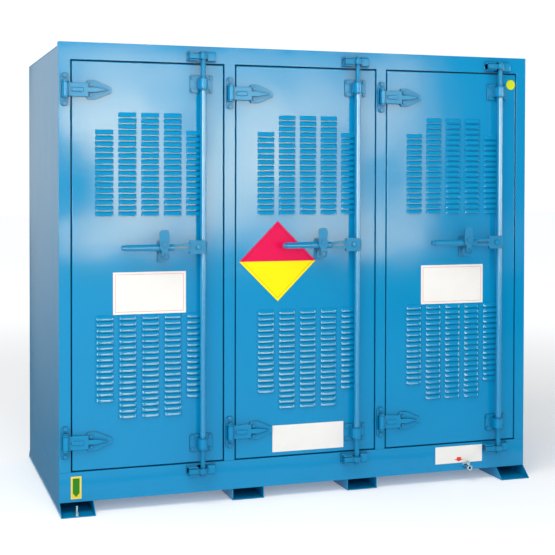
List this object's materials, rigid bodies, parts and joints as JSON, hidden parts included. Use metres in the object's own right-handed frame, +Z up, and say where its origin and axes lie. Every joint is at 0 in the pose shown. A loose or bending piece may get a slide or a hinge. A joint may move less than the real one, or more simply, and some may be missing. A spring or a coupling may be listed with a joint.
{
  "type": "outdoor dangerous goods store",
  "caption": "Free-standing blue steel dangerous goods cabinet on channel feet, with hinged louvred doors, turning lock bars, shelves and a drained spill sump.",
  "frame": {"origin": "on the floor under the middle of the cabinet body, halfway across its width and its depth", "axes": "X across the front to the viewer's right, Y from the front to the back, Z up"},
  "size_m": [2.19, 1.1729, 1.976],
  "materials": {
    "cabinet_paint": "glossy mid-blue baked enamel over steel sheet",
    "hardware_paint": "glossy mid-blue enamel over forged steel fittings",
    "inner_steel": "zinc-plated sheet of shelves, grates and posts",
    "stud_steel": "zinc-plated fasteners",
    "seal_rubber": "black extruded rubber",
    "valve_metal": "dull plated brass",
    "white_plate": "white printed sheet with a red border",
    "placard_plate": "printed sheet, red above and yellow below",
    "earth_plate": "printed sheet, yellow with a green field",
    "round_plate": "printed round sticker, yellow with a green spot"
  },
  "bodies": {
    "cabinet": {"bund_tray": "cabinet_paint", "front_frame": "cabinet_paint", "side_panel_left": "cabinet_paint", "side_panel_right": "cabinet_paint", "back_panel": "cabinet_paint", "roof_panel": "cabinet_paint", "foot_left": "cabinet_paint", "foot_inner_left": "cabinet_paint", "foot_inner_right": "cabinet_paint", "foot_right": "cabinet_paint", "floor_grates": "inner_steel", "shelf_posts": "inner_steel", "shelf_bearers": "inner_steel", "shelves_lower": "inner_steel", "shelves_upper": "inner_steel", "door_seals": "seal_rubber", "hinge_brackets": "hardware_paint", "hinge_pins": "hardware_paint", "hinge_bracket_bolts": "hardware_paint", "keepers": "hardware_paint", "earth_stud": "stud_steel", "drain_valve_body": "valve_metal", "drain_plate": "white_plate", "earth_label": "earth_plate"},
    "valve_lever": {"drain_valve_lever": "valve_metal"},
    "door_1": {"door_leaf_1": "cabinet_paint", "hinge_blades_1": "hardware_paint", "door_bolts_1": "hardware_paint", "bar_guides_1": "hardware_paint", "catch_base_1": "hardware_paint", "sign_plate_left": "white_plate"},
    "bar_1": {"lock_bar_1": "hardware_paint", "bar_fittings_1": "hardware_paint", "handle_pivot_1": "hardware_paint"},
    "handle_1_body": {"handle_1": "hardware_paint"},
    "catch_1": {"catch_flap_1": "hardware_paint"},
    "door_2": {"door_leaf_2": "cabinet_paint", "hinge_blades_2": "hardware_paint", "door_bolts_2": "hardware_paint", "bar_guides_2": "hardware_paint", "catch_base_2": "hardware_paint", "hazard_placard": "placard_plate", "capacity_plate": "white_plate"},
    "bar_2": {"lock_bar_2": "hardware_paint", "bar_fittings_2": "hardware_paint", "handle_pivot_2": "hardware_paint"},
    "handle_2_body": {"handle_2": "hardware_paint"},
    "catch_2": {"catch_flap_2": "hardware_paint"},
    "door_3": {"door_leaf_3": "cabinet_paint", "hinge_blades_3": "hardware_paint", "door_bolts_3": "hardware_paint", "bar_guides_3": "hardware_paint", "catch_base_3": "hardware_paint", "sign_plate_right": "white_plate", "round_label": "round_plate"},
    "bar_3": {"lock_bar_3": "hardware_paint", "bar_fittings_3": "hardware_paint", "handle_pivot_3": "hardware_paint"},
    "handle_3_body": {"handle_3": "hardware_paint"},
    "catch_3": {"catch_flap_3": "hardware_paint"}
  },
  "joints": [
    {"name": "door_1_hinge", "type": "hinge", "parent": "cabinet", "child": "door_1", "pos_m": [-1.07, -0.54, 1.0395], "axis": [0, 0, -1], "range_deg": [0, 150]},
    {"name": "lock_bar_1_turn", "type": "hinge", "parent": "door_1", "child": "bar_1", "pos_m": [-0.485, -0.555, 1.115], "axis": [0, 0, 1], "range_deg": [0, 110]},
    {"name": "handle_1_lift", "type": "hinge", "parent": "bar_1", "child": "handle_1_body", "pos_m": [-0.512, -0.574, 1.115], "axis": [0, 1, 0], "range_deg": [0, 20]},
    {"name": "catch_1_swing", "type": "hinge", "parent": "handle_1_body", "child": "catch_1", "pos_m": [-0.6615, -0.592, 1.128], "axis": [0, 1, 0], "range_deg": [-85, 85]},
    {"name": "door_2_hinge", "type": "hinge", "parent": "cabinet", "child": "door_2", "pos_m": [-0.357, -0.54, 1.0395], "axis": [0, 0, -1], "range_deg": [0, 150]},
    {"name": "lock_bar_2_turn", "type": "hinge", "parent": "door_2", "child": "bar_2", "pos_m": [0.228, -0.555, 1.115], "axis": [0, 0, 1], "range_deg": [0, 110]},
    {"name": "handle_2_lift", "type": "hinge", "parent": "bar_2", "child": "handle_2_body", "pos_m": [0.201, -0.574, 1.115], "axis": [0, 1, 0], "range_deg": [0, 20]},
    {"name": "catch_2_swing", "type": "hinge", "parent": "handle_2_body", "child": "catch_2", "pos_m": [0.0515, -0.592, 1.128], "axis": [0, 1, 0], "range_deg": [-85, 85]},
    {"name": "door_3_hinge", "type": "hinge", "parent": "cabinet", "child": "door_3", "pos_m": [0.356, -0.54, 1.0395], "axis": [0, 0, -1], "range_deg": [0, 150]},
    {"name": "lock_bar_3_turn", "type": "hinge", "parent": "door_3", "child": "bar_3", "pos_m": [0.941, -0.555, 1.115], "axis": [0, 0, 1], "range_deg": [0, 110]},
    {"name": "handle_3_lift", "type": "hinge", "parent": "bar_3", "child": "handle_3_body", "pos_m": [0.914, -0.574, 1.115], "axis": [0, 1, 0], "range_deg": [0, 20]},
    {"name": "catch_3_swing", "type": "hinge", "parent": "handle_3_body", "child": "catch_3", "pos_m": [0.7645, -0.592, 1.128], "axis": [0, 1, 0], "range_deg": [-85, 85]},
    {"name": "drain_valve_turn", "type": "hinge", "parent": "cabinet", "child": "valve_lever", "pos_m": [0.795, -0.538, 0.09], "axis": [0, 0, 1], "range_deg": [0, 90]}
  ]
}
